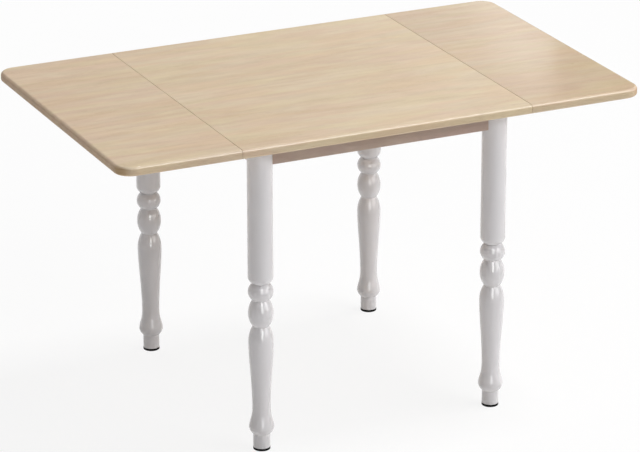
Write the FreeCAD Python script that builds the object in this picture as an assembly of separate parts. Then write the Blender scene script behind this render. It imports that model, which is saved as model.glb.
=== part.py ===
import FreeCAD, Part
import math
import os

# Drop-leaf dining table: a fixed centre panel on four turned legs and a folding leaf at each end.
# Millimetres, +X along the length, +Y to the back, +Z up, origin on the floor under the middle.

# Table top
table_height = 750.0
table_width = 770.0
centre_length = 720.0
leaf_length = 290.0
top_thickness = 22.0
seam_gap = 1.0
seam_arris = 0.6
corner_radius = 40.0
top_edge_radius = 8.0
under_edge_radius = 6.0

# Turned legs: the widest radius, the depth of each cut below it, and the lengths of the
# turned stretches from the foot upwards
leg_radius = 29.0
leg_seam_inset = 66.0
leg_edge_inset = 58.0
foot_length = 33.0
foot_cut = 9.4
collar_length = 16.0
collar_cut = 0.2
flare_length = 23.0
flare_cut = 5.1
waist_length = 39.0
waist_cut = 7.8
taper_length = 63.0
taper_cut = 4.7
vase_length = 86.0
vase_shoulder_length = 36.5
lower_neck_cut = 10.4
oval_bead_length = 63.5
middle_neck_cut = 10.4
ball_bead_length = 40.0
upper_neck_cut = 11.0
upper_round_length = 15.0

# Foot pads
pad_height = 6.0
pad_radius = 19.8
pad_chamfer = 0.8
pad_bore_radius = 6.0
pad_bore_depth = 2.6

# Rails under the centre panel
rail_height = 38.0
rail_thickness = 20.0
rail_outset = 16.0
housing_wall = 4.0
housing_clearance = 0.1

# Corner brackets, hanger bolts and nuts
corner_gauge = 2.5
corner_leg_gap = 5.0
corner_flange = 30.0
corner_margin = 4.0
corner_screw_spacing = 16.0
bolt_radius = 4.0
bolt_tip_clearance = 2.2
bolt_tail = 4.0
bolt_clearance = 0.1
nut_flats = 13.0
nut_height = 6.5

# Angle brackets that hold the centre panel to the long rails
top_bracket_leg_inset = 144.0
top_bracket_gauge = 2.0
top_bracket_leg = 25.0
top_bracket_width = 22.0
top_bracket_screw_offset = 15.0

# Leaf hinges
hinge_edge_inset = 145.0
hinge_length = 60.0
hinge_reach = 34.0
hinge_gauge = 2.0
barrel_radius = 3.5
barrel_clearance = 0.5
knuckle_length = 22.0
knuckle_gap = 0.3
pin_radius = 1.5
pin_clearance = 0.05
hinge_screw_inset = 13.0
hinge_screw_pitch = 20.0

# Leaf stays: a bracket on the side rail, a strut, and a slotted plate under the leaf
stay_edge_inset = 235.0
stay_gauge = 2.5
stay_boss_radius = 9.0
stay_rail_clearance = 1.0
stay_foot_width = 36.0
stay_foot_margin = 2.0
stay_screw_spacing = 18.0
stay_screw_inset = 20.0
stay_side_gap = 0.4
strut_thickness = 3.0
strut_radius = 8.0
strut_reach = 130.0
strut_tip_drop = 16.0
stud_radius = 3.0
stud_head_radius = 5.5
stud_head_height = 2.0
slot_clearance = 0.3
slot_margin = 7.0
lock_notch_depth = 1.5
plate_end_margin = 14.0
plate_flange_width = 28.0
plate_screw_pitch = 80.0
plate_screw_inset = 16.0
rivet_radius = 3.0
rivet_head_radius = 6.0
rivet_head_height = 2.0

# Rounded corners of all the pressed steel plates
sheet_corner_radius = 4.0

# Wood screws, one size throughout
screw_radius = 1.75
screw_length = 15.0
screw_head_radius = 3.5
screw_head_height = 2.0
screw_clearance = 0.05

# Places worked out from the sizes above
underside = table_height - top_thickness
seam_x = centre_length / 2
half_width = table_width / 2
leg_x = seam_x - leg_seam_inset
leg_y = half_width - leg_edge_inset
rail_bottom = underside - rail_height
rail_middle = underside - rail_height / 2
rail_inset = rail_thickness - rail_outset
rail_end_offset = rail_inset + housing_wall
side_rail_face = leg_x + rail_outset
long_rail_face = leg_y + rail_outset
side_rail_inner = side_rail_face - rail_thickness
long_rail_inner = long_rail_face - rail_thickness
corner_depth = rail_height - 2 * corner_margin
corner_face = leg_radius + corner_leg_gap
bolt_tip_offset = math.sqrt(2) * (rail_inset + housing_clearance) + bolt_radius + bolt_tip_clearance
top_bracket_x = leg_x - top_bracket_leg_inset
hinge_z = underside - barrel_radius - barrel_clearance
hinge_y = half_width - hinge_edge_inset

# The stay's pivot hangs under the side rail and lies as far inside the hinge line as below it,
# so the strut stays parallel to itself in the leaf and its stud runs along a round slot.
stay_y = half_width - stay_edge_inset
pivot_z = rail_bottom - max(stay_boss_radius, strut_radius) - stay_rail_clearance
pivot_offset = hinge_z - pivot_z
pivot_x = seam_x - pivot_offset
stud_x = seam_x + strut_reach
stud_z = underside - strut_tip_drop
slot_centre_x = stud_x + pivot_offset
slot_centre_z = stud_z + pivot_offset
slot_radius = pivot_offset * math.sqrt(2)
plate_half_length = pivot_offset + plate_end_margin

# How far cutting shapes run past the faces they cut, and how near counts as the same place
OVERSHOOT = 1.0
SAME_PLACE = 0.01

UP = FreeCAD.Vector(0, 0, 1)
DOWN = FreeCAD.Vector(0, 0, -1)
ORIGIN = FreeCAD.Vector(0, 0, 0)
ALONG_X = FreeCAD.Vector(1, 0, 0)
ALONG_Y = FreeCAD.Vector(0, 1, 0)
ENDS = {"left": -1, "right": 1}
SIDES = {"front": -1, "back": 1}


def vec(x, y, z):
    return FreeCAD.Vector(x, y, z)


def box(x0, x1, y0, y1, z0, z1):
    return Part.makeBox(x1 - x0, y1 - y0, z1 - z0, vec(x0, y0, z0))


def rod(start, direction, radius, length):
    return Part.makeCylinder(radius, length, start, direction)


def prism(points, direction):
    """A straight solid from a closed outline of points."""
    return Part.Face(Part.makePolygon(points + points[:1])).extrude(direction)


def to_quarter(shape, end, side):
    """Mirror a piece drawn at the right back to another quarter of the table."""
    placed = shape
    if end < 0:
        placed = placed.mirror(ORIGIN, ALONG_X)
    if side < 0:
        placed = placed.mirror(ORIGIN, ALONG_Y)
    return placed


def seat_to_quarter(seat, end, side):
    return tuple(vec(part.x * end, part.y * side, part.z) for part in seat)


def all_quarters(seats):
    """The same screw seats in all four quarters of the table."""
    return [seat_to_quarter(seat, end, side) for seat in seats for end in (-1, 1) for side in (-1, 1)]


def screw(seat):
    """A pan-head screw: the seat is the point under its head and the way it drives."""
    point, direction = seat
    head = rod(point, direction * -1, screw_head_radius, screw_head_height)
    return head.fuse(rod(point, direction, screw_radius, screw_length)).removeSplitter()


def drilled(shape, seats):
    """A piece with the holes of the screws that pass through it or end in it."""
    holes = []
    for point, direction in seats:
        start = point - direction * OVERSHOOT
        depth = screw_length + screw_clearance + OVERSHOOT
        holes.append(rod(start, direction, screw_radius + screw_clearance, depth))
    return shape.cut(holes) if holes else shape


def corner_eased(plate, direction, place):
    """A steel plate with its free corners rounded: the edges along a direction at one place."""
    corners = []
    for edge in plate.Edges:
        along = edge.tangentAt(edge.FirstParameter)
        middle = edge.CenterOfMass
        at_place = all(value is None or abs(value - part) < SAME_PLACE for value, part in zip(place, middle))
        if abs(abs(along.dot(direction)) - 1) < SAME_PLACE and at_place:
            corners.append(edge)
    return plate.makeFillet(sheet_corner_radius, corners)


def save(name, shape):
    shape.exportStep("parts/" + name + ".step")


def save_group(name, solids):
    save(name, Part.makeCompound(solids))


def outline_edges(shape, z, seams):
    """The long outer edges at one height, without the edges along the seams."""
    edges = []
    for edge in shape.Edges:
        bounds = edge.BoundBox
        level = abs(bounds.ZMin - z) < SAME_PLACE and abs(bounds.ZMax - z) < SAME_PLACE
        on_seam = any(abs(bounds.XMin - x) < SAME_PLACE and abs(bounds.XMax - x) < SAME_PLACE for x in seams)
        if level and not on_seam:
            edges.append(edge)
    return edges


def rounded_panel(blank, seams):
    """Round over the upper and lower outer edges of a blank board."""
    board = blank.makeFillet(top_edge_radius, outline_edges(blank, table_height, seams))
    return board.makeFillet(under_edge_radius, outline_edges(board, underside, seams))


def seam_bevel(edge_x, way):
    """The small arris taken off a board's upper edge at a seam; way points into the board."""
    out_x = edge_x - way * OVERSHOOT
    in_x = edge_x + way * (seam_arris + OVERSHOOT)
    high = table_height + OVERSHOOT
    low = table_height - seam_arris - OVERSHOOT
    start_y = -half_width - OVERSHOOT
    points = [vec(out_x, start_y, low), vec(in_x, start_y, high), vec(out_x, start_y, high)]
    return prism(points, ALONG_Y * (table_width + 2 * OVERSHOOT))


def centre_board():
    edge_x = seam_x - seam_gap / 2
    blank = box(-edge_x, edge_x, -half_width, half_width, underside, table_height)
    board = rounded_panel(blank, [-edge_x, edge_x])
    return board.cut([seam_bevel(-edge_x, 1), seam_bevel(edge_x, -1)])


def right_leaf_board():
    """The right leaf, with its two outer corners rounded in plan."""
    near_x = seam_x + seam_gap / 2
    far_x = seam_x + leaf_length
    blank = box(near_x, far_x, -half_width, half_width, underside, table_height)
    corners = []
    for edge in blank.Edges:
        bounds = edge.BoundBox
        if bounds.ZLength > top_thickness - SAME_PLACE and bounds.XMin > far_x - SAME_PLACE:
            corners.append(edge)
    board = rounded_panel(blank.makeFillet(corner_radius, corners), [near_x])
    return board.cut(seam_bevel(near_x, 1))


def turned_leg():
    """One leg on its own axis: a plain upper part, two beads, a vase and a small foot."""
    def at(cut, height):
        return vec(leg_radius - cut, 0, height)

    def arc(start, middle, end):
        return Part.Arc(start, middle, end).toShape()

    def bead(lower, upper):
        """A full round between two necks, as wide as the leg at its middle."""
        return arc(lower, at(0, (lower.z + upper.z) / 2), upper)

    def round_over(wide, narrow):
        """An arc that leaves the wide end nearly upright and turns in to the narrow end."""
        middle = vec(wide.x - (wide.x - narrow.x) / 4, 0, (wide.z + narrow.z) / 2)
        return arc(wide, middle, narrow)

    base = vec(leg_radius - foot_cut, 0, pad_height)
    foot = at(foot_cut, base.z + foot_length)
    collar = at(collar_cut, foot.z + collar_length)
    flare = at(flare_cut, collar.z + flare_length)
    waist = at(waist_cut, flare.z + waist_length)
    taper = at(taper_cut, waist.z + taper_length)
    vase = at(0, taper.z + vase_length)
    lower_neck = at(lower_neck_cut, vase.z + vase_shoulder_length)
    middle_neck = at(middle_neck_cut, lower_neck.z + oval_bead_length)
    upper_neck = at(upper_neck_cut, middle_neck.z + ball_bead_length)
    shoulder = at(0, upper_neck.z + upper_round_length)
    top = at(0, underside)
    sweep = Part.BSplineCurve()
    sweep.interpolate([vase, taper, waist, flare, collar], InitialTangent=DOWN, FinalTangent=DOWN)
    edges = [
        Part.makeLine(vec(0, 0, underside), top),
        Part.makeLine(top, shoulder),
        round_over(shoulder, upper_neck),
        bead(middle_neck, upper_neck),
        bead(lower_neck, middle_neck),
        round_over(vase, lower_neck),
        sweep.toShape(),
        round_over(collar, foot),
        Part.makeLine(foot, base),
        Part.makeLine(base, vec(0, 0, pad_height)),
        Part.makeLine(vec(0, 0, pad_height), vec(0, 0, underside)),
    ]
    return Part.Face(Part.Wire(edges)).revolve(ORIGIN, UP, 360)


def rail_housings():
    """The two slots at the top of the right back leg that take the rail ends."""
    low = rail_bottom - housing_clearance
    reach = leg_radius + OVERSHOOT
    side_slot = box(
        side_rail_inner - housing_clearance,
        side_rail_face + housing_clearance,
        leg_y - reach,
        leg_y - rail_end_offset + housing_clearance,
        low,
        underside + OVERSHOOT,
    )
    long_slot = box(
        leg_x - reach,
        leg_x - rail_end_offset + housing_clearance,
        long_rail_inner - housing_clearance,
        long_rail_face + housing_clearance,
        low,
        underside + OVERSHOOT,
    )
    return [side_slot, long_slot]


def bolt_line(distance):
    """A point on the hanger bolt's line, at a distance from the right back leg's axis."""
    step = distance / math.sqrt(2)
    return vec(leg_x - step, leg_y - step, rail_middle)


BOLT_WAY = vec(-1, -1, 0) / math.sqrt(2)


def hanger_bolt():
    length = corner_face + corner_gauge + nut_height + bolt_tail - bolt_tip_offset
    return rod(bolt_line(bolt_tip_offset), BOLT_WAY, bolt_radius, length)


def hanger_bolt_hole():
    start = bolt_tip_offset - bolt_clearance
    length = corner_face + corner_gauge + OVERSHOOT - start
    return rod(bolt_line(start), BOLT_WAY, bolt_radius + bolt_clearance, length)


def hanger_nut():
    corner = nut_flats / math.sqrt(3)
    across = vec(-BOLT_WAY.y, BOLT_WAY.x, 0)
    face = bolt_line(corner_face + corner_gauge)
    points = []
    for step in range(6):
        turn = math.radians(60 * step)
        points.append(face + across * (corner * math.cos(turn)) + UP * (corner * math.sin(turn)))
    blank = prism(points, BOLT_WAY * nut_height)
    return blank.cut(rod(face, BOLT_WAY, bolt_radius + bolt_clearance, nut_height))


def corner_seats():
    """Screw seats of the right back corner bracket, two in each rail."""
    along = corner_face * math.sqrt(2) + corner_flange / 2
    seats = []
    for step in (-0.5, 0.5):
        z = rail_middle + step * corner_screw_spacing
        side_point = vec(side_rail_inner - corner_gauge, leg_y - along, z)
        long_point = vec(leg_x - along, long_rail_inner - corner_gauge, z)
        seats.append((side_point, ALONG_X))
        seats.append((long_point, ALONG_Y))
    return seats


def corner_bracket():
    """A bent steel plate behind the right back leg, screwed to both rails."""
    low = rail_middle - corner_depth / 2
    high = rail_middle + corner_depth / 2
    side_inner = side_rail_inner
    long_inner = long_rail_inner
    # The diagonal web keeps the same sum of x and y along each of its faces.
    near_sum = leg_x + leg_y - corner_face * math.sqrt(2)
    far_sum = near_sum - corner_gauge * math.sqrt(2)
    web = prism(
        [
            vec(side_inner, near_sum - side_inner, low),
            vec(side_inner, far_sum - side_inner, low),
            vec(far_sum - long_inner, long_inner, low),
            vec(near_sum - long_inner, long_inner, low),
        ],
        UP * corner_depth,
    )
    side_end = near_sum - side_inner
    long_end = near_sum - long_inner
    side_flange = box(side_inner - corner_gauge, side_inner, side_end - corner_flange, side_end, low, high)
    long_flange = box(long_end - corner_flange, long_end, long_inner - corner_gauge, long_inner, low, high)
    side_flange = corner_eased(side_flange, ALONG_X, (None, side_end - corner_flange, None))
    long_flange = corner_eased(long_flange, ALONG_Y, (long_end - corner_flange, None, None))
    plate = web.fuse([side_flange, long_flange]).removeSplitter()
    return drilled(plate.cut(hanger_bolt_hole()), corner_seats())


def top_bracket_seats():
    """Screw seats of the right back top bracket: one in the rail and one in the centre panel."""
    x = top_bracket_x
    inner = long_rail_inner
    in_rail = (vec(x, inner - top_bracket_gauge, underside - top_bracket_screw_offset), ALONG_Y)
    in_top = (vec(x, inner - top_bracket_screw_offset, underside - top_bracket_gauge), UP)
    return [in_rail, in_top]


def top_bracket():
    x0 = top_bracket_x - top_bracket_width / 2
    x1 = x0 + top_bracket_width
    inner = long_rail_inner
    upright = box(x0, x1, inner - top_bracket_gauge, inner, underside - top_bracket_leg, underside)
    upright = corner_eased(upright, ALONG_Y, (None, None, underside - top_bracket_leg))
    flat = box(x0, x1, inner - top_bracket_leg, inner, underside - top_bracket_gauge, underside)
    flat = corner_eased(flat, UP, (None, inner - top_bracket_leg, None))
    return drilled(upright.fuse(flat).removeSplitter(), top_bracket_seats())


def hinge_places():
    return {"front": -hinge_y, "middle": 0.0, "back": hinge_y}


def hinge_seats(y, way):
    """Screw seats of one right-hand hinge plate; way is 1 under the leaf, -1 under the centre."""
    x = seam_x + way * (hinge_reach - hinge_screw_inset)
    z = underside - hinge_gauge
    return [(vec(x, y + step * hinge_screw_pitch, z), UP) for step in (-1, 0, 1)]


def knuckle_spans(y, way):
    """Where along Y the knuckles of one plate lie: one under the leaf, two under the centre."""
    if way > 0:
        return [(y - knuckle_length / 2, y + knuckle_length / 2)]
    inner = knuckle_length / 2 + knuckle_gap
    outer = hinge_length / 2
    return [(y - outer, y - inner), (y + inner, y + outer)]


def hinge_plate(y, way):
    """One plate of a right-hand hinge, with its knuckles round the pin."""
    clear = barrel_radius + barrel_clearance
    low = underside - hinge_gauge
    near = seam_x + way * clear
    far = seam_x + way * hinge_reach
    plate = box(min(near, far), max(near, far), y - hinge_length / 2, y + hinge_length / 2, low, underside)
    plate = corner_eased(plate, UP, (far, None, None))
    knuckles = []
    for start, end in knuckle_spans(y, way):
        knuckles.append(rod(vec(seam_x, start, hinge_z), ALONG_Y, barrel_radius, end - start))
        knuckles.append(box(min(seam_x, near), max(seam_x, near), start, end, low, underside))
    bore = rod(
        vec(seam_x, y - hinge_length / 2 - OVERSHOOT, hinge_z),
        ALONG_Y,
        pin_radius + pin_clearance,
        hinge_length + 2 * OVERSHOOT,
    )
    return drilled(plate.fuse(knuckles).removeSplitter().cut(bore), hinge_seats(y, way))


def hinge_pin(y):
    return rod(vec(seam_x, y - hinge_length / 2, hinge_z), ALONG_Y, pin_radius, hinge_length)


def stay_bracket_seats():
    """Screw seats of the right back stay bracket, driven into the side rail from outside."""
    x = side_rail_face + stay_gauge
    y = stay_y + stay_screw_inset
    return [(vec(x, y, rail_middle + step * stay_screw_spacing), ALONG_X * -1) for step in (-0.5, 0.5)]


def stay_bracket():
    """A steel angle on the side rail's outer face, with an ear below for the strut's pivot."""
    low = rail_bottom + stay_foot_margin
    high = underside - stay_foot_margin
    face = side_rail_face
    foot = box(face, face + stay_gauge, stay_y, stay_y + stay_foot_width, low, high)
    foot = corner_eased(foot, ALONG_X, (None, stay_y + stay_foot_width, None))
    web_x = max(pivot_x, face) + stay_boss_radius
    web = box(face, web_x, stay_y, stay_y + stay_gauge, pivot_z, high)
    ear = rod(vec(pivot_x, stay_y, pivot_z), ALONG_Y, stay_boss_radius, stay_gauge)
    hole = rod(
        vec(pivot_x, stay_y - OVERSHOOT, pivot_z),
        ALONG_Y,
        rivet_radius + pin_clearance,
        stay_gauge + 2 * OVERSHOOT,
    )
    return drilled(foot.fuse([web, ear]).removeSplitter().cut(hole), stay_bracket_seats())


def strut():
    """A flat bar from the pivot to the leaf, with a headed stud at its tip."""
    y0 = stay_y - stay_side_gap - strut_thickness
    y1 = stay_y - stay_side_gap
    pivot = vec(pivot_x, y0, pivot_z)
    tip = vec(stud_x, y0, stud_z)
    along = (tip - pivot).normalize()
    across = vec(-along.z, 0, along.x) * strut_radius
    bar = prism([pivot + across, tip + across, tip - across, pivot - across], ALONG_Y * strut_thickness)
    ends = [rod(point, ALONG_Y, strut_radius, strut_thickness) for point in (pivot, tip)]
    head_y = stay_y + stay_gauge + stay_side_gap
    stud = rod(vec(stud_x, y1, stud_z), ALONG_Y, stud_radius, head_y - y1)
    head = rod(vec(stud_x, head_y, stud_z), ALONG_Y, stud_head_radius, stud_head_height)
    hole = rod(
        vec(pivot_x, y0 - OVERSHOOT, pivot_z),
        ALONG_Y,
        rivet_radius + pin_clearance,
        strut_thickness + 2 * OVERSHOOT,
    )
    return bar.fuse(ends + [stud, head]).removeSplitter().cut(hole)


def stay_rivet():
    """The strut's pivot: a shank through strut and bracket with a head at each end."""
    start = stay_y - 2 * stay_side_gap - strut_thickness
    end = stay_y + stay_gauge
    shank = rod(vec(pivot_x, start, pivot_z), ALONG_Y, rivet_radius, end - start)
    head_starts = (start - rivet_head_height, end)
    heads = []
    for y in head_starts:
        heads.append(rod(vec(pivot_x, y, pivot_z), ALONG_Y, rivet_head_radius, rivet_head_height))
    return shank.fuse(heads).removeSplitter()


def stay_plate_seats():
    """Screw seats of the slotted plate under the right leaf."""
    y = stay_y + plate_screw_inset
    z = underside - stay_gauge
    return [(vec(slot_centre_x + step * plate_screw_pitch, y, z), UP) for step in (-0.5, 0.5)]


def stay_slot():
    """The round slot that the stud runs along, with a lock notch at its upper end."""
    half = stud_radius + slot_clearance
    y0 = stay_y - OVERSHOOT
    depth = stay_gauge + 2 * OVERSHOOT
    centre = vec(slot_centre_x, y0, slot_centre_z)
    core = rod(centre, ALONG_Y, slot_radius - half, depth)
    ring = rod(centre, ALONG_Y, slot_radius + half, depth).cut(core)
    reach = 2 * slot_radius
    lower_quarter = prism(
        [centre, centre + vec(-reach, 0, -reach), centre + vec(reach, 0, -reach)],
        ALONG_Y * depth,
    )
    start = vec(stud_x, y0, stud_z)
    end = vec(stud_x + 2 * pivot_offset, y0, stud_z)
    notch = start + UP * lock_notch_depth
    rounds = [rod(point, ALONG_Y, half, depth) for point in (start, end, notch)]
    neck = box(stud_x - half, stud_x + half, y0, y0 + depth, stud_z, notch.z)
    return ring.common(lower_quarter).fuse(rounds + [neck])


def stay_plate():
    """A steel angle under the leaf whose round-bottomed web carries the slot."""
    web_radius = slot_radius + stud_radius + slot_clearance + slot_margin
    centre = vec(slot_centre_x, stay_y, slot_centre_z)
    disc = rod(centre, ALONG_Y, web_radius, stay_gauge)
    y1 = stay_y + plate_flange_width
    left = slot_centre_x - plate_half_length
    right = slot_centre_x + plate_half_length
    below = box(left, right, stay_y, stay_y + stay_gauge, slot_centre_z - web_radius, underside)
    web = disc.common(below)
    flange = box(left, right, stay_y, y1, underside - stay_gauge, underside)
    flange = corner_eased(flange, UP, (None, y1, None))
    return drilled(web.fuse(flange).removeSplitter().cut(stay_slot()), stay_plate_seats())


def foot_pad():
    pad = Part.makeCylinder(pad_radius, pad_height)
    floor_edges = [edge for edge in pad.Edges if edge.BoundBox.ZMax < SAME_PLACE]
    pad = pad.makeChamfer(pad_chamfer, floor_edges)
    return drilled(pad.cut(Part.makeCylinder(pad_bore_radius, pad_bore_depth)), [foot_pad_seat()])


def foot_pad_seat():
    return (vec(0, 0, pad_bore_depth), UP)


def moved_to_leg(shape):
    placed = shape.copy()
    placed.translate(vec(leg_x, leg_y, 0))
    return placed


def build_top():
    """The centre panel and both leaves, drilled for hinges, stays and top brackets."""
    frame_seats = []
    leaf_seats = []
    for y in hinge_places().values():
        frame_seats += hinge_seats(y, -1)
        leaf_seats += hinge_seats(y, 1)
    mirrored_frame = [seat_to_quarter(seat, -1, 1) for seat in frame_seats]
    panel_seats = frame_seats + mirrored_frame + all_quarters(top_bracket_seats()[1:])
    save("top_panel", drilled(centre_board(), panel_seats))
    save_group("hinge_screws", [screw(seat) for seat in frame_seats + mirrored_frame])
    for side in SIDES.values():
        leaf_seats += [seat_to_quarter(seat, 1, side) for seat in stay_plate_seats()]
    leaf = drilled(right_leaf_board(), leaf_seats)
    leaf_screws = [screw(seat) for seat in leaf_seats]
    for end_name, end in ENDS.items():
        save("leaf_" + end_name, to_quarter(leaf, end, 1))
        save_group("leaf_" + end_name + "_screws", [to_quarter(solid, end, 1) for solid in leaf_screws])


def build_legs():
    """Legs with their foot pads, and the brackets and bolts that tie them to the rails."""
    leg = drilled(turned_leg(), [foot_pad_seat()])
    leg = moved_to_leg(leg).cut(rail_housings() + [hanger_bolt_hole()])
    pad = moved_to_leg(foot_pad())
    pad_screw = moved_to_leg(screw(foot_pad_seat()))
    bracket = corner_bracket()
    groups = {"foot_pad_screws": [], "hanger_bolts": [], "hanger_nuts": []}
    for side_name, side in SIDES.items():
        for end_name, end in ENDS.items():
            quarter = side_name + "_" + end_name
            save("leg_" + quarter, to_quarter(leg, end, side))
            save("foot_pad_" + quarter, to_quarter(pad, end, side))
            save("corner_bracket_" + quarter, to_quarter(bracket, end, side))
            save("top_bracket_" + quarter, to_quarter(top_bracket(), end, side))
            groups["foot_pad_screws"].append(to_quarter(pad_screw, end, side))
            groups["hanger_bolts"].append(to_quarter(hanger_bolt(), end, side))
            groups["hanger_nuts"].append(to_quarter(hanger_nut(), end, side))
    for name, solids in groups.items():
        save_group(name, solids)


def build_rails():
    """Four rails housed in the legs, drilled for the brackets they carry."""
    seats = all_quarters(corner_seats() + stay_bracket_seats() + top_bracket_seats()[:1])
    long_reach = leg_x - rail_end_offset
    side_reach = leg_y - rail_end_offset
    long_rail = box(-long_reach, long_reach, long_rail_inner, long_rail_face, rail_bottom, underside)
    side_rail = box(side_rail_inner, side_rail_face, -side_reach, side_reach, rail_bottom, underside)
    for side_name, side in SIDES.items():
        save("rail_" + side_name, drilled(to_quarter(long_rail, 1, side), seats))
    for end_name, end in ENDS.items():
        save("rail_" + end_name, drilled(to_quarter(side_rail, end, 1), seats))
    save_group("corner_bracket_screws", [screw(seat) for seat in all_quarters(corner_seats())])
    save_group("top_bracket_screws", [screw(seat) for seat in all_quarters(top_bracket_seats())])


def build_hinges():
    """Three hinges at each seam: a plate under the centre, a plate under the leaf and a pin."""
    pins = []
    for end_name, end in ENDS.items():
        for place, y in hinge_places().items():
            hinge = "hinge_" + end_name + "_" + place
            save(hinge + "_fixed_plate", to_quarter(hinge_plate(y, -1), end, 1))
            save(hinge + "_leaf_plate", to_quarter(hinge_plate(y, 1), end, 1))
            pins.append(to_quarter(hinge_pin(y), end, 1))
    save_group("hinge_pins", pins)


def build_stays():
    """Two stays at each end: bracket, strut and slotted plate, with the rivets they turn on."""
    rivets = []
    for end_name, end in ENDS.items():
        for side_name, side in SIDES.items():
            quarter = side_name + "_" + end_name
            save("stay_bracket_" + quarter, to_quarter(stay_bracket(), end, side))
            save("stay_strut_" + quarter, to_quarter(strut(), end, side))
            save("stay_plate_" + quarter, to_quarter(stay_plate(), end, side))
            rivets.append(to_quarter(stay_rivet(), end, side))
    save_group("stay_rivets", rivets)
    save_group("stay_bracket_screws", [screw(seat) for seat in all_quarters(stay_bracket_seats())])


os.makedirs("parts", exist_ok=True)
build_top()
build_legs()
build_rails()
build_hinges()
build_stays()
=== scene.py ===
import math

import bmesh
import bpy
from mathutils import Matrix, Quaternion, Vector


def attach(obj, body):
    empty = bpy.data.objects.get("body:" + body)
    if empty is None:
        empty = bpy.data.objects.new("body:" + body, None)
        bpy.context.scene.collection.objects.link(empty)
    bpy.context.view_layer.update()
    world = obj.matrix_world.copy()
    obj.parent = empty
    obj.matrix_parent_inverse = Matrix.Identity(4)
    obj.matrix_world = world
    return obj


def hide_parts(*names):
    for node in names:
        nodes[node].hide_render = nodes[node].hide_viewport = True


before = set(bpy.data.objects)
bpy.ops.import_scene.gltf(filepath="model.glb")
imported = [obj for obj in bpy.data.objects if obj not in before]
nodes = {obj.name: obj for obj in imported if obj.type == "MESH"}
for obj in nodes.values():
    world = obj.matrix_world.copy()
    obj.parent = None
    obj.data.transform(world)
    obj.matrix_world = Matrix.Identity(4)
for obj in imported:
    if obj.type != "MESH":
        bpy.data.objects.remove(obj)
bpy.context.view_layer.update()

# Lengths are in metres and angles in degrees. The middle of the table is at X 0 and Y 0, its front
# towards -Y and the floor at Z 0.
X, Y, Z = 0, 1, 2
ENDS = (-1, 1)
UP = (0, 0, 1)
LEFT = (-1, 0, 0)
RIGHT = (1, 0, 0)
BACK = (0, 1, 0)

# Where the turned leg's grooves lie above the floor, and between which distances their painted shade
# fades
GROOVES = (0.039, 0.3025, 0.366, 0.406)
GROOVE_SHADE = (0.0003, 0.0016)

# A board's end is at a seam where it is nearer to the middle than the first distance, and at the
# table's end where it is beyond the second
SEAM_SIDE = 0.4
OUTER_SIDE = 0.5

# Fastener sizes, as the solid model has them
SCREW_HEAD_RADIUS = 0.0035
SCREW_HEAD_HEIGHT = 0.002
SCREW_RADIUS = 0.00175
SCREW_LENGTH = 0.015
BOLT_RADIUS = 0.004
BOLT_LENGTH = 0.035
NUT_FLATS = 0.013
NUT_HEIGHT = 0.0065
NUT_BORE = 0.0041
RIVET_RADIUS = 0.003
RIVET_HEAD_RADIUS = 0.006
RIVET_HEAD_HEIGHT = 0.002
RIVET_GRIP = 0.0063

# Finer sizes of the fasteners, which only this scene has
SCREW_CORE = 0.0012
SCREW_PITCH = 0.0013
SCREW_POINT = 0.002
SCREW_ROOT = -0.0006
HEAD_ROUNDING = 0.0011
RECESS_WIDTH = 0.0009
RECESS_ARM = 0.0013
RECESS_DEPTH = 0.0012
BOLT_CORE = 0.0034
BOLT_PITCH = 0.00125
BOLT_POINT = 0.0008
NUT_TURNED_EDGE = 0.0006

# How much wider the nut's hole is at its mouths, and the rivet head's steps up and in, as shares
NUT_HOLE_EASING = 1.2
RIVET_DOME = ((0.3, 0.98), (0.3, 0.9), (0.25, 0.76), (0.15, 0.5))

# How fasteners are turned on their seats, and the angle up to which their edges look smooth
SCREW_TURN_STEP = 37
OTHER_TURN = 30
SMOOTH_ANGLE = 35

# Where the hinge plates and the slotted stay plates take their screws
HINGE_Y = (-0.24, 0.0, 0.24)
HINGE_SCREW_STEPS = (-0.02, 0.0, 0.02)
HINGE_SEAT_Z = 0.726
FIXED_PLATE_X = 0.339
LEAF_PLATE_X = 0.381
STAY_PLATE_X = (0.494, 0.574)
STAY_PLATE_Y = (-0.166, 0.166)
STAY_PLATE_Z = 0.7255

# The legs' axes, and the hanger bolts that point from them to the table's middle
LEG_X = 0.294
LEG_Y = 0.327
BOLT_Z = 0.709
BOLT_START = 0.012
NUT_START = 0.0365

# Seats at the back right corner, each a place and the way the fastener points; the others mirror them
TOP_BRACKET_SEATS = [((0.15, 0.321, 0.713), BACK), ((0.15, 0.308, 0.726), UP)]
STAY_BRACKET_SEATS = [((0.3125, 0.17, 0.7), LEFT), ((0.3125, 0.17, 0.718), LEFT)]
CORNER_BRACKET_SEATS = [
    ((0.2875, 0.2639, 0.701), RIGHT),
    ((0.2309, 0.3205, 0.701), BACK),
    ((0.2875, 0.2639, 0.717), RIGHT),
    ((0.2309, 0.3205, 0.717), BACK),
]
FOOT_PAD_SEATS = [((LEG_X, LEG_Y, 0.0026), UP)]
STAY_PIVOTS = [((0.316, 0.1462, 0.68), BACK)]

# The camera that took the photo, found from the table's straight edges
CAMERA_PLACE = (-3.3653, -7.1889, 3.3899)
CAMERA_AROUND = -25.131
CAMERA_ABOVE = 20.748
CAMERA_TILT = -0.073
CAMERA_LENS = 202.55
CAMERA_SENSOR = 36.0
CAMERA_REACH = 200.0

# The studio: the point that the lamps look at, the floor, the card and the light from all round
LAMP_AIM = Vector((0, 0, 0.5))
FLOOR_SIZE = 80
FLOOR_WHITENESS = 0.86
CARD_MIDDLE = (1.5, 3.0, 2.0)
CARD_SIZE = (5.4, 2.2, 1)
CARD_STRENGTH = 2.5
GLOW_STRENGTH = 0.22
WHITE = (1, 1, 1, 1)


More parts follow.
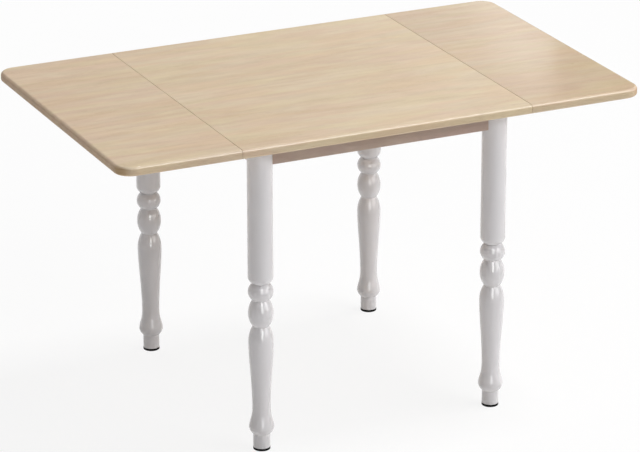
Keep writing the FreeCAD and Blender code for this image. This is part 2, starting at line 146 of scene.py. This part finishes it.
class Wire:
    """An output in a finish's node tree. Arithmetic on wires adds Math nodes."""

    def __init__(self, tree, socket=None):
        self.tree = tree
        self.socket = socket

    def node(self, kind, settings=None, values=None, out=0):
        """Add a node of any kind: its settings first, then the values or links of its sockets."""
        made = self.tree.nodes.new("ShaderNode" + kind)
        for name, value in (settings or {}).items():
            if name == "stops":
                set_stops(made.color_ramp, value)
            else:
                setattr(made, name, value)
        for name, value in (values or {}).items():
            if isinstance(value, Wire):
                self.tree.links.new(value.socket, made.inputs[name])
            else:
                made.inputs[name].default_value = value
        return Wire(self.tree, made.outputs[out] if made.outputs else None)

    def maths(self, operation, *values):
        """Add a Math node for an operation on wires or numbers."""
        return self.node("Math", {"operation": operation}, dict(enumerate(values)))

    def __abs__(self):
        return self.maths("ABSOLUTE", self)

    def __add__(self, other):
        return self.maths("ADD", self, other)

    def __sub__(self, other):
        return self.maths("SUBTRACT", self, other)

    def __mul__(self, other):
        return self.maths("MULTIPLY", self, other)

    def __rsub__(self, other):
        return self.maths("SUBTRACT", other, self)

    __radd__ = __add__
    __rmul__ = __mul__


def set_stops(ramp, stops):
    """Put colour stops on a ramp: (place, colour) pairs from low to high."""
    while len(ramp.elements) < len(stops):
        ramp.elements.new(1.0)
    for element, (place, colour) in zip(ramp.elements, stops):
        element.position = place
        element.color = colour


def tint(red, green, blue):
    """A colour given in the usual 0 to 255 steps, as the linear values that shaders take."""
    def linear(step):
        part = step / 255
        return part / 12.92 if part <= 0.04045 else ((part + 0.055) / 1.055) ** 2.4
    return (linear(red), linear(green), linear(blue), 1.0)


# The oak of the boards and rails, from the dark streaks of the figure to the pale ones
OAK_TOP = [
    (0.34, tint(209, 187, 160)),
    (0.45, tint(214, 194, 166)),
    (0.53, tint(218, 199, 170)),
    (0.66, tint(223, 205, 177)),
]
OAK_LEFT = [
    (0.34, tint(210, 187, 161)),
    (0.46, tint(215, 194, 167)),
    (0.55, tint(219, 199, 171)),
    (0.66, tint(224, 205, 178)),
]
OAK_RIGHT = [
    (0.34, tint(200, 178, 152)),
    (0.45, tint(205, 184, 157)),
    (0.53, tint(209, 189, 161)),
    (0.66, tint(214, 195, 168)),
]
OAK_RAIL = [
    (0.34, tint(182, 162, 152)),
    (0.48, tint(189, 170, 160)),
    (0.66, tint(198, 180, 170)),
]
TOP_LINE = tint(192, 164, 131)
RAIL_LINE = tint(168, 146, 132)
PORE_TONE = tint(158, 128, 96)

# The yellower and the redder patches of the figure
HONEY_TONE = tint(254, 254, 246)
ROSY_TONE = tint(255, 248, 249)

# Painted shade darkens the upright sides of the boards and rails; their outer grain ends are darker and
# browner still
EDGE_SHADE_TONE = tint(243, 241, 237)
END_TONE = tint(232, 218, 200)

# Painted light: the walls inside the seams are made paler, against the shade that falls in the gaps
SEAM_LIGHT_TONE = tint(240, 226, 202)

PAINT_DULL = tint(220, 217, 218)
PAINT_WHITE = tint(229, 227, 229)
# The darker paint of the grooves is painted shade
PAINT_GROOVE_SHADE = tint(206, 200, 196)
PAINT_GRAIN = tint(205, 199, 194)
PAD_BLACK = tint(9, 9, 10)
PAD_SPARK = tint(18, 17, 17)
PAD_SCUFF = tint(58, 56, 54)
FLOOR_DULL = tint(233, 232, 232)
FLOOR_PALE = tint(237, 237, 237)


def new_finish(name):
    """An empty material, with a pen that adds nodes to it and the piece's own coordinates."""
    material = bpy.data.materials.new(name)
    material.use_nodes = True
    material.node_tree.nodes.clear()
    pen = Wire(material.node_tree)
    return material, pen, pen.node("TexCoord", out="Object")


def part_of(pen, vector, axis):
    """One of a vector's three numbers."""
    return pen.node("SeparateXYZ", {}, {"Vector": vector}, out=axis)


def facing(pen, axis):
    """How far a face points along one of the piece's own axes: 1 along it, 0 across, -1 against."""
    return part_of(pen, pen.node("TexCoord", out="Normal"), axis)


def speckle(pen, place, stretch, detail=2.0, roughness=0.5, shift=(0, 0, 0), waver=0.0):
    """Soft random variation with its own number of features a metre along each axis."""
    moved = pen.node("Mapping", {}, {"Vector": place, "Scale": stretch, "Location": shift})
    values = {"Vector": moved, "Scale": 1.0, "Detail": detail, "Roughness": roughness}
    return pen.node("TexNoise", {}, {**values, "Distortion": waver})


def band(wire, low, high):
    """0 below low, 1 above high and a smooth rise between."""
    settings = {"interpolation_type": "SMOOTHSTEP"}
    return wire.node("MapRange", settings, {"Value": wire, "From Min": low, "From Max": high})


def blended(pen, share, first, second, mode="MIX"):
    """Two colours mixed by a share."""
    settings = {"data_type": "RGBA", "blend_type": mode, "clamp_factor": True}
    return pen.node("Mix", settings, {0: share, 6: first, 7: second}, out=2)


def close_finish(pen, colour, roughness, height, depth, **others):
    """Join colour, roughness and relief to the shader, and the others to its sockets by their names."""
    relief = pen.node("Bump", {}, {"Height": height, "Distance": depth, "Strength": 1.0})
    values = {"Base Color": colour, "Roughness": roughness, "Normal": relief}
    values.update({name.replace("_", " "): value for name, value in others.items()})
    shader = pen.node("BsdfPrincipled", {}, values)
    pen.node("OutputMaterial", {}, {"Surface": shader})


def oak(name, shift, tones, line, along="X", gloss=1.0):
    """Lacquered oak. The grain runs along X or Y, and each board has its own piece of the figure."""
    material, pen, whole = new_finish(name)
    turn = math.radians(90) if along == "Y" else 0.0
    place = pen.node("Mapping", {}, {"Vector": whole, "Location": shift, "Rotation": (0, 0, turn)})
    drift = speckle(pen, place, (1.2, 7, 7))
    streak = speckle(pen, place, (10, 50, 50), detail=3.0, roughness=0.55, waver=0.4)
    fleck = speckle(pen, place, (22, 115, 115), shift=(1.3, 0.6, 0.2), waver=0.3)
    honey = speckle(pen, place, (4, 22, 22), shift=(0.2, 2.2, 0.5), waver=0.4)
    rosy = speckle(pen, place, (5, 28, 28), shift=(1.9, 0.7, 1.3), waver=0.4)
    field = speckle(pen, place, (0.5, 4.2, 4.2), detail=1.5, roughness=0.35, shift=(3.1, 1.7, 0.4))
    fibre = speckle(pen, place, (16, 620, 620), detail=3.0, roughness=0.6)
    pore_noise = speckle(pen, place, (55, 2100, 2100), detail=1.0, shift=(0.7, 0.2, 0.9))

    # Late wood is the dark side of each year ring, and has the most pores
    ring = pen.maths("FRACT", field * 15)
    late = band(ring, 0.45, 0.92) * (1 - band(ring, 0.93, 1.0))
    pores = band(pore_noise, 0.60, 0.70) * (0.35 + late * 0.65)
    tone = drift * 0.25 + streak * 0.55 + fleck * 0.2
    colour = pen.node("ValToRGB", {"stops": tones}, {"Fac": tone})
    colour = blended(pen, band(honey, 0.36, 0.64), colour, HONEY_TONE, "MULTIPLY")
    colour = blended(pen, band(rosy, 0.38, 0.62), colour, ROSY_TONE, "MULTIPLY")
    colour = blended(pen, late * band(fleck, 0.4, 0.62) * 0.22, colour, line)
    colour = blended(pen, band(fibre, 0.42, 0.75) * 0.16, colour, line)
    colour = blended(pen, pores * 0.36, colour, PORE_TONE)

    # Top, rounding, edge, grain end, seam wall and underside differ in tone and lacquer; the edges'
    # darker tone is painted shade and the seam walls' paler tone painted light
    rise = facing(pen, "Z")
    under = band(0 - rise, 0.5, 0.9)
    rounding = band(rise, 0.3, 0.5) * (1 - band(rise, 0.85, 0.96))
    edge = 1 - band(abs(rise), 0.2, 0.5)
    grain_end = band(abs(facing(pen, along)), 0.3, 0.75)
    outer = band(abs(part_of(pen, whole, "X")), SEAM_SIDE, OUTER_SIDE)
    seam_wall = grain_end * (1 - outer)
    # Painted shade darkens the upright sides, but not the seam walls
    colour = blended(pen, edge * (1 - seam_wall), colour, EDGE_SHADE_TONE, "MULTIPLY")
    colour = blended(pen, grain_end * outer, colour, END_TONE, "MULTIPLY")
    # Painted light on the seam walls
    colour = blended(pen, seam_wall * 0.4, colour, SEAM_LIGHT_TONE)
    close_finish(
        pen,
        colour,
        roughness=0.30 + streak * 0.16 + pores * 0.2 + under * 0.22,
        height=0.0 - pores * 0.7 - fibre * 0.25,
        depth=0.00012,
        Coat_Weight=(1 - under) * (0.35 + rounding * 0.65) * (1 - grain_end * 0.6) * gloss,
        Coat_Roughness=0.12,
        Coat_IOR=2.0,
        Specular_IOR_Level=0.15,
    )
    return material


def leg_paint():
    """White satin lacquer on turned wood: faint grain under it, and a little painted shade in the
    grooves.
    """
    material, pen, place = new_finish("leg_paint")
    height_up = part_of(pen, place, "Z")
    cloud = speckle(pen, place, (9, 9, 5), detail=3.0)
    grain = speckle(pen, place, (420, 420, 14), detail=3.0, roughness=0.6)
    peel = speckle(pen, place, (700, 700, 700))
    groove = None
    for level in GROOVES:
        near = 1 - band(abs(height_up - level), *GROOVE_SHADE)
        groove = near if groove is None else pen.maths("MAXIMUM", groove, near)
    colour = blended(pen, cloud, PAINT_DULL, PAINT_WHITE)
    # Painted shade: the paint is darkened near the grooves
    colour = blended(pen, groove * 0.25, colour, PAINT_GROOVE_SHADE)
    colour = blended(pen, band(grain, 0.55, 0.8) * 0.12, colour, PAINT_GRAIN)
    close_finish(
        pen,
        colour,
        roughness=0.2 + cloud * 0.08 + groove * 0.2,
        height=grain * 0.5 + peel * 0.3,
        depth=0.00006,
        Coat_Weight=0.5,
        Coat_Roughness=0.08,
        Specular_IOR_Level=0.3,
    )
    return material


def pad_plastic():
    """Black moulded plastic with a fine spark texture, scuffed grey near the floor."""
    material, pen, place = new_finish("pad_plastic")
    spark = speckle(pen, place, (1900, 1900, 1900))
    dust = speckle(pen, place, (120, 120, 300), detail=4.0, roughness=0.65)
    scuff = band(dust, 0.45, 0.75) * (1 - band(part_of(pen, place, "Z"), 0.0005, 0.003))
    colour = blended(pen, spark, PAD_BLACK, PAD_SPARK)
    colour = blended(pen, scuff * 0.3, colour, PAD_SCUFF)
    roughness = 0.42 + spark * 0.15 + scuff * 0.2
    close_finish(pen, colour, roughness, height=spark, depth=0.00008, Specular_IOR_Level=0.08)
    return material


def zinc(name, pale, dull, shine, roughness):
    """Zinc-plated steel: cloudy plating, fine drawn lines and dull patches."""
    material, pen, place = new_finish(name)
    cloud = speckle(pen, place, (60, 60, 60), detail=4.0, roughness=0.6)
    spangle = pen.node("TexVoronoi", {}, {"Vector": place, "Scale": 320.0}, out="Color")
    fleck = pen.node("SeparateColor", {}, {"Color": spangle}, out="Red")
    lines = speckle(pen, place, (90, 2400, 2400), detail=3.0, roughness=0.6)
    tarnish = band(cloud, 0.42, 0.72)
    colour = blended(pen, tarnish, pale, dull)
    colour = blended(pen, fleck * 0.35, colour, shine)
    worn = roughness + tarnish * 0.14 + fleck * 0.07 + lines * 0.1
    relief = lines * 0.5 + cloud * 0.5
    close_finish(pen, colour, worn, height=relief, depth=0.00005, Metallic=1.0)
    return material


board_oak = {
    "top_panel": oak("oak_centre", (0.4, 0.2, 0.0), OAK_TOP, TOP_LINE),
    "leaf_left": oak("oak_left_leaf", (2.7, 0.9, 0.1), OAK_LEFT, TOP_LINE),
    "leaf_right": oak("oak_right_leaf", (5.3, 1.4, 0.2), OAK_RIGHT, TOP_LINE),
}
long_rail_oak = oak("oak_long_rail", (1.1, 2.2, 0.3), OAK_RAIL, RAIL_LINE, gloss=0.4)
side_rail_oak = oak("oak_side_rail", (4.2, 3.1, 0.3), OAK_RAIL, RAIL_LINE, along="Y", gloss=0.4)
paint = leg_paint()
plastic = pad_plastic()
sheet_zinc = zinc("zinc_sheet", tint(196, 200, 203), tint(168, 172, 176), tint(212, 215, 217), 0.30)
screw_zinc = zinc("zinc_screw", tint(206, 205, 200), tint(184, 182, 174), tint(220, 219, 214), 0.22)


def finish_for(name):
    """The finish of a node kept from the solid model."""
    if name in board_oak:
        return board_oak[name]
    if name in ("rail_front", "rail_back"):
        return long_rail_oak
    if name in ("rail_left", "rail_right"):
        return side_rail_oak
    if name.startswith("leg_"):
        return paint
    if name.startswith("foot_pad_") and not name.endswith("screws"):
        return plastic
    if name.endswith(("_screws", "_bolts", "_nuts", "_pins", "_rivets")):
        return screw_zinc
    return sheet_zinc


for name, node in nodes.items():
    for holder in node.material_slots:
        holder.material = finish_for(name)


def start_piece(add_shape, **sizes):
    """Begin a piece from a plain shape, with nothing else selected, and put its place into its mesh."""
    bpy.ops.object.select_all(action="DESELECT")
    add_shape(**sizes)
    bpy.ops.object.transform_apply(location=True, rotation=True, scale=True)
    return bpy.context.object


def round_bar(sides, radius, low, high):
    """Begin a piece from a round or many-sided bar up the Z axis."""
    return start_piece(
        bpy.ops.mesh.primitive_cylinder_add,
        vertices=sides,
        radius=radius,
        depth=high - low,
        location=(0, 0, (low + high) / 2),
    )


def edit(piece):
    """Take a piece into edit mode."""
    bpy.context.view_layer.objects.active = piece
    bpy.ops.object.mode_set(mode="EDIT")


def leave_edit():
    """Take the piece out of edit mode again."""
    bpy.ops.object.mode_set(mode="OBJECT")


def pick_faces(piece, wanted):
    """In edit mode, select only the faces whose middle and normal pass a test."""
    bpy.ops.mesh.select_mode(type="FACE")
    bpy.ops.mesh.select_all(action="DESELECT")
    mesh = bmesh.from_edit_mesh(piece.data)
    for face in mesh.faces:
        face.select_set(wanted(face.calc_center_median(), face.normal))
    bmesh.update_edit_mesh(piece.data)


def points(axis, way):
    """A test for faces that point along an axis, forwards with way 1 and backwards with way -1."""
    return lambda middle, normal: normal[axis] * way > 0.9


def pick_open_end(piece, low, high):
    """In edit mode, select only the open edges between two heights."""
    bpy.ops.mesh.select_mode(type="EDGE")
    bpy.ops.mesh.select_all(action="DESELECT")
    mesh = bmesh.from_edit_mesh(piece.data)
    for edge in mesh.edges:
        heights = [corner.co.z for corner in edge.verts]
        edge.select_set(edge.is_boundary and low <= min(heights) and max(heights) <= high)
    bmesh.update_edit_mesh(piece.data)


def pull(distance, scale):
    """Extrude what is selected along Z and scale the new end about the middle."""
    bpy.ops.mesh.extrude_region_move(TRANSFORM_OT_translate={"value": (0, 0, distance)})
    bpy.ops.transform.resize(value=(scale, scale, 1))


def close_end():
    """Close the open end that is selected with a fan of faces to its middle."""
    bpy.ops.mesh.extrude_region_move()
    bpy.ops.mesh.merge(type="CENTER")


def combine(piece, other, operation):
    """Cut, join or trim a piece with another shape, which is used up."""
    joined = piece.modifiers.new("combine", "BOOLEAN")
    joined.operation = operation
    joined.solver = "EXACT"
    joined.object = other
    bpy.context.view_layer.objects.active = piece
    bpy.ops.object.modifier_apply(modifier="combine")
    bpy.data.objects.remove(other)


def threaded_rod(core, crest, pitch, length, steps, point, start=0.0):
    """A rod up the Z axis, its foot closed and its end pointed.

    One pitch of the thread's outline is drawn from a single corner and screwed round in steps.
    """
    rod = start_piece(bpy.ops.mesh.primitive_plane_add, size=pitch)
    edit(rod)
    bpy.ops.mesh.select_mode(type="VERT")
    bpy.ops.mesh.select_all(action="SELECT")
    bpy.ops.mesh.merge(type="CENTER")
    bpy.ops.transform.translate(value=(core, 0, start))
    for step in (crest - core, core - crest):
        bpy.ops.mesh.extrude_vertices_move(TRANSFORM_OT_translate={"value": (step, 0, pitch / 2)})
    leave_edit()
    turns = int((length - point - start) / pitch) - 1
    thread = rod.modifiers.new("thread", "SCREW")
    thread.axis = "Z"
    thread.screw_offset = pitch
    thread.iterations = turns
    thread.steps = thread.render_steps = steps
    bpy.ops.object.modifier_apply(modifier="thread")
    edit(rod)
    bpy.ops.mesh.select_all(action="SELECT")
    bpy.ops.mesh.remove_doubles(threshold=pitch / 50)
    top = start + (turns + 1) * pitch
    slack, reach = pitch / 10, 1.1 * pitch
    pick_open_end(rod, start - slack, start + reach)
    close_end()
    pick_open_end(rod, top - reach, top + slack)
    rest = length - top + pitch / 2
    blunt = 0.55
    bpy.ops.mesh.extrude_region_move(TRANSFORM_OT_translate={"value": (0, 0, rest)})
    bpy.ops.transform.resize(value=(blunt, blunt, 0))
    close_end()
    bpy.ops.mesh.select_all(action="SELECT")
    bpy.ops.mesh.normals_make_consistent(inside=False)
    leave_edit()
    return rod


def cross_recess():
    """The cutter for a screw head's cross: a block with its four sides pulled out and a tapered end."""
    foot = (0, 0, -SCREW_HEAD_HEIGHT)
    cutter = start_piece(bpy.ops.mesh.primitive_cube_add, size=RECESS_WIDTH, location=foot)
    edit(cutter)
    for axis in (X, Y):
        for way in ENDS:
            pick_faces(cutter, points(axis, way))
            step = Vector((0, 0, 0))
            step[axis] = way * RECESS_ARM
            bpy.ops.mesh.extrude_region_move(TRANSFORM_OT_translate={"value": step})
    bpy.ops.mesh.select_all(action="SELECT")
    bpy.ops.transform.resize(value=(1, 1, 2 * RECESS_DEPTH / RECESS_WIDTH), center_override=foot)
    pick_faces(cutter, points(Z, 1))
    bpy.ops.transform.resize(value=(0.5, 0.5, 1), center_override=(0, 0, 0))
    leave_edit()
    return cutter


def pan_head_screw():
    """A wood screw that points up: a pan head with a cross below its seat at Z 0, and a thread above."""
    screw = round_bar(20, SCREW_HEAD_RADIUS, -SCREW_HEAD_HEIGHT, 0)
    edit(screw)
    pick_faces(screw, points(Z, -1))
    bpy.ops.mesh.bevel(offset=HEAD_ROUNDING, segments=3, affect="EDGES")
    leave_edit()
    combine(screw, cross_recess(), "DIFFERENCE")
    shank = threaded_rod(
        SCREW_CORE,
        SCREW_RADIUS,
        SCREW_PITCH,
        SCREW_LENGTH,
        steps=10,
        point=SCREW_POINT,
        start=SCREW_ROOT,
    )
    combine(screw, shank, "UNION")
    return screw


def hanger_bolt():
    """A stud threaded from end to end."""
    return threaded_rod(BOLT_CORE, BOLT_RADIUS, BOLT_PITCH, BOLT_LENGTH, steps=20, point=BOLT_POINT)


def hex_nut():
    """A six-sided nut on Z 0, its corners turned away at both ends, with a bored and eased hole."""
    corner = NUT_FLATS / math.sqrt(3)
    nut = round_bar(6, corner, 0, NUT_HEIGHT)
    turning = round_bar(48, corner * 1.01, NUT_TURNED_EDGE, NUT_HEIGHT - NUT_TURNED_EDGE)
    edit(turning)
    for way in ENDS:
        pick_faces(turning, points(Z, way))
        pull(way * NUT_TURNED_EDGE, NUT_FLATS / 2 / corner)
    leave_edit()
    combine(nut, turning, "INTERSECT")
    drill = round_bar(32, NUT_BORE, NUT_TURNED_EDGE / 2, NUT_HEIGHT - NUT_TURNED_EDGE / 2)
    edit(drill)
    for way in ENDS:
        pick_faces(drill, points(Z, way))
        pull(way * NUT_TURNED_EDGE, NUT_HOLE_EASING)
    leave_edit()
    combine(nut, drill, "DIFFERENCE")
    return nut


def stay_rivet():
    """A pivot along Z, its grip from Z 0 up, with a domed head at each end."""
    rivet = round_bar(28, RIVET_RADIUS, 0, RIVET_GRIP)
    edit(rivet)
    for way, end in ((-1, 0.0), (1, RIVET_GRIP)):
        def end_face(middle, normal):
            return points(Z, way)(middle, normal) and abs(middle.z - end) < RIVET_RADIUS / 10

        pick_faces(rivet, end_face)
        pull(0, RIVET_HEAD_RADIUS / RIVET_RADIUS)
        for share, scale in RIVET_DOME:
            pull(way * share * RIVET_HEAD_HEIGHT, scale)
    leave_edit()
    return rivet


def fastener_turn(node, number):
    """Screws stop at any angle; nuts sit with a flat up, as the solid model has them."""
    return math.radians(SCREW_TURN_STEP * number if node.endswith("screws") else OTHER_TURN)


def set_out(pattern, name, node, body, seats):
    """Copies of one fastener, each on its seat and turned its own way, joined as a node's piece."""
    copies = []
    for number, (seat, way) in enumerate(seats):
        copy = pattern.copy()
        copy.data = pattern.data.copy()
        bpy.context.scene.collection.objects.link(copy)
        turn = Vector(way).to_track_quat("Z", "Y") @ Quaternion(UP, fastener_turn(node, number))
        copy.matrix_world = Matrix.Translation(seat) @ turn.to_matrix().to_4x4()
        copies.append(copy)
    bpy.ops.object.select_all(action="DESELECT")
    for copy in copies:
        copy.select_set(True)
    piece = copies[0]
    bpy.context.view_layer.objects.active = piece
    bpy.ops.object.join()
    bpy.ops.object.transform_apply(location=True, rotation=True, scale=True)
    bpy.ops.object.shade_smooth_by_angle(angle=math.radians(SMOOTH_ANGLE))
    piece.name = name
    piece.data.name = name
    piece.data.materials.clear()
    piece.data.materials.append(screw_zinc)
    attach(piece, body)
    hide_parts(node)


def at_corners(seats):
    """The seats of the back right corner at all four corners."""
    return [
        ((end * x, side * y, z), (end * across, side * along, up))
        for end in ENDS
        for side in ENDS
        for (x, y, z), (across, along, up) in seats
    ]


def bolt_seats(distance):
    """Points on the four hanger bolts' lines, at a distance from the leg's axis towards the middle."""
    step = distance / math.sqrt(2)
    return at_corners([((LEG_X - step, LEG_Y - step, BOLT_Z), (-1, -1, 0))])


def hinge_seats(x):
    """Screw seats of the three hinge plates at one X."""
    return [((x, y + step, HINGE_SEAT_Z), UP) for y in HINGE_Y for step in HINGE_SCREW_STEPS]


def leaf_seats(end):
    """Screw seats under one leaf: its hinge plates, then its two slotted plates."""
    slotted = [((end * x, y, STAY_PLATE_Z), UP) for y in STAY_PLATE_Y for x in STAY_PLATE_X]
    return hinge_seats(end * LEAF_PLATE_X) + slotted


def fit_fasteners():
    """Model each kind of fastener once and set copies on their seats."""
    screw = pan_head_screw()
    fixed_seats = hinge_seats(-FIXED_PLATE_X) + hinge_seats(FIXED_PLATE_X)
    top_seats = at_corners(TOP_BRACKET_SEATS)
    stay_seats = at_corners(STAY_BRACKET_SEATS)
    corner_seats = at_corners(CORNER_BRACKET_SEATS)
    set_out(screw, "hinge_screw_set", "hinge_screws", "frame", fixed_seats)
    set_out(screw, "leaf_left_screw_set", "leaf_left_screws", "leaf_left", leaf_seats(-1))
    set_out(screw, "leaf_right_screw_set", "leaf_right_screws", "leaf_right", leaf_seats(1))
    set_out(screw, "top_bracket_screw_set", "top_bracket_screws", "frame", top_seats)
    set_out(screw, "stay_bracket_screw_set", "stay_bracket_screws", "frame", stay_seats)
    set_out(screw, "corner_screw_set", "corner_bracket_screws", "frame", corner_seats)
    set_out(screw, "foot_pad_screw_set", "foot_pad_screws", "frame", at_corners(FOOT_PAD_SEATS))
    bolt = hanger_bolt()
    set_out(bolt, "hanger_bolt_set", "hanger_bolts", "frame", bolt_seats(BOLT_START))
    nut = hex_nut()
    set_out(nut, "hanger_nut_set", "hanger_nuts", "frame", bolt_seats(NUT_START))
    rivet = stay_rivet()
    set_out(rivet, "stay_rivet_set", "stay_rivets", "frame", at_corners(STAY_PIVOTS))
    for pattern in (screw, bolt, nut, rivet):
        bpy.data.objects.remove(pattern)


def outwards(around, above):
    """The direction out from the table at two angles: around it from the front to +X, and upwards."""
    turn, lift = math.radians(around), math.radians(above)
    return Vector((
        math.sin(turn) * math.cos(lift),
        -math.cos(turn) * math.cos(lift),
        math.sin(lift),
    ))


def photo_camera():
    """The camera that took the photo."""
    around, tilt = math.radians(CAMERA_AROUND), math.radians(CAMERA_TILT)
    back = outwards(CAMERA_AROUND, CAMERA_ABOVE)
    level = Vector((math.cos(around), math.sin(around), 0))
    upright = back.cross(level)
    right = level * math.cos(tilt) + upright * math.sin(tilt)
    up = upright * math.cos(tilt) - level * math.sin(tilt)
    data = bpy.data.cameras.new("photo_camera")
    data.sensor_fit = "HORIZONTAL"
    data.sensor_width = CAMERA_SENSOR
    data.lens = CAMERA_LENS
    data.clip_end = CAMERA_REACH
    camera = bpy.data.objects.new("photo_camera", data)
    bpy.context.scene.collection.objects.link(camera)
    place = Matrix((right, up, back)).transposed().to_4x4()
    place.translation = CAMERA_PLACE
    camera.matrix_world = place
    bpy.context.scene.camera = camera


def group_of(title, starts):
    """A few pieces of the table together, for the lamps that are mirrored in nothing else."""
    group = bpy.data.collections.new(title)
    for name, node in nodes.items():
        if name.startswith(starts) and not name.endswith("screws"):
            group.objects.link(node)
    return group


def soft_lamp(name, around, above, distance, width, height, power, mirrored_in=None):
    """A studio softbox that looks at the table from a given side and height.

    It lights everything and isn't mirrored, unless it is only to be mirrored in one group of pieces.
    """
    data = bpy.data.lights.new(name, "AREA")
    data.shape = "RECTANGLE"
    data.size = width
    data.size_y = height
    data.energy = power
    lamp = bpy.data.objects.new(name, data)
    bpy.context.scene.collection.objects.link(lamp)
    back = outwards(around, above)
    lamp.location = LAMP_AIM + back * distance
    lamp.rotation_euler = back.to_track_quat("Z", "Y").to_euler()
    lamp.visible_camera = False
    lamp.visible_glossy = mirrored_in is not None
    lamp.visible_diffuse = mirrored_in is None
    lamp.light_linking.receiver_collection = mirrored_in


def seen_rays(pen):
    """1 for what is seen directly, mirrored or through glass, and 0 for what only lights the table."""
    seen = None
    for ray in ("Is Camera Ray", "Is Glossy Ray", "Is Transmission Ray"):
        path = pen.node("LightPath", out=ray)
        seen = path if seen is None else pen.maths("MAXIMUM", seen, path)
    return seen


def studio_floor():
    """A pale floor that is nearly white where it is seen and keeps the table's soft shadow."""
    material, pen, place = new_finish("studio_floor")
    cloud = speckle(pen, place, (3, 3, 3))
    matte = pen.node("BsdfDiffuse", {}, {"Color": blended(pen, cloud, FLOOR_DULL, FLOOR_PALE)})
    white = pen.node("Emission", {}, {"Color": WHITE, "Strength": 1.0})
    lit = pen.node("MixShader", {}, {0: seen_rays(pen) * FLOOR_WHITENESS, 1: matte, 2: white})
    clear = pen.node("BsdfTransparent")
    behind = pen.node("NewGeometry", out="Backfacing")
    both = pen.node("MixShader", {}, {0: behind, 1: lit, 2: clear})
    pen.node("OutputMaterial", {}, {"Surface": both})
    bpy.ops.object.select_all(action="DESELECT")
    bpy.ops.mesh.primitive_plane_add(size=FLOOR_SIZE)
    floor = bpy.context.object
    floor.name = "studio_floor"
    floor.data.materials.append(material)


def studio_card():
    """A grey card behind the table with a bright strip and a black end, seen only in the shine."""
    material, pen, place = new_finish("studio_card")
    across = part_of(pen, place, "X")
    above = part_of(pen, place, "Z")
    high = band(above, 1.88, 2.06)
    grey = (0.13 + band(across, 0.3, 2.0) * 0.1) * (1 - high * 0.2)
    strip = band(across - (above - 1.7) * 0.7, 1.92, 2.03) * 0.45 * (1 - high)
    black_end = band(across, 2.27, 2.31)
    black = pen.node("Emission", {}, {"Color": WHITE, "Strength": 0.0})
    white = pen.node("Emission", {}, {"Color": WHITE, "Strength": CARD_STRENGTH})
    lit = pen.node("MixShader", {}, {0: (grey + strip) * (1 - black_end), 1: black, 2: white})
    pen.node("OutputMaterial", {}, {"Surface": lit})
    bpy.ops.object.select_all(action="DESELECT")
    bpy.ops.mesh.primitive_plane_add(size=1, location=CARD_MIDDLE, rotation=(math.radians(90), 0, 0))
    card = bpy.context.object
    card.name = "studio_card"
    card.scale = CARD_SIZE
    bpy.ops.object.transform_apply(location=True, rotation=True, scale=True)
    card.data.materials.append(material)
    for ray in ("camera", "diffuse", "transmission", "volume_scatter", "shadow"):
        setattr(card, "visible_" + ray, False)


def studio_world():
    """Even light from all round; the camera and reflections see plain white."""
    world = bpy.data.worlds.new("studio")
    world.use_nodes = True
    world.node_tree.nodes.clear()
    bpy.context.scene.world = world
    pen = Wire(world.node_tree)
    glow = pen.node("Background", {}, {"Color": WHITE, "Strength": GLOW_STRENGTH})
    white = pen.node("Background", {}, {"Color": WHITE, "Strength": 1.0})
    mixed = pen.node("MixShader", {}, {0: seen_rays(pen), 1: glow, 2: white})
    pen.node("OutputWorld", {}, {"Surface": mixed})


def studio_lamps():
    """Four lamps light the table, and three more are seen only as shine on the legs and the boards."""
    soft_lamp("key_lamp", around=48, above=30, distance=6.0, width=4.0, height=2.0, power=162)
    soft_lamp("top_lamp", around=90, above=64, distance=16.0, width=4.5, height=4.5, power=1640)
    soft_lamp("back_lamp", around=185, above=22, distance=6.0, width=4.0, height=2.0, power=55)
    soft_lamp("fill_lamp", around=-60, above=5, distance=4.0, width=2.0, height=0.8, power=7)
    legs = group_of("legs", "leg_")
    boards = group_of("boards", ("top_panel", "leaf_"))
    soft_lamp(
        "key_shine",
        around=34, above=22, distance=6.0, width=4.0, height=4.0, power=200, mirrored_in=legs,
    )
    soft_lamp(
        "front_strip",
        around=-13.6, above=23, distance=4.0, width=1.1, height=4.4, power=145, mirrored_in=legs,
    )
    soft_lamp(
        "edge_shine",
        around=32, above=42, distance=4.0, width=2.8, height=1.0, power=25, mirrored_in=boards,
    )


fit_fasteners()
photo_camera()
studio_world()
studio_floor()
studio_card()
studio_lamps()
bpy.context.scene.view_settings.view_transform = "Standard"
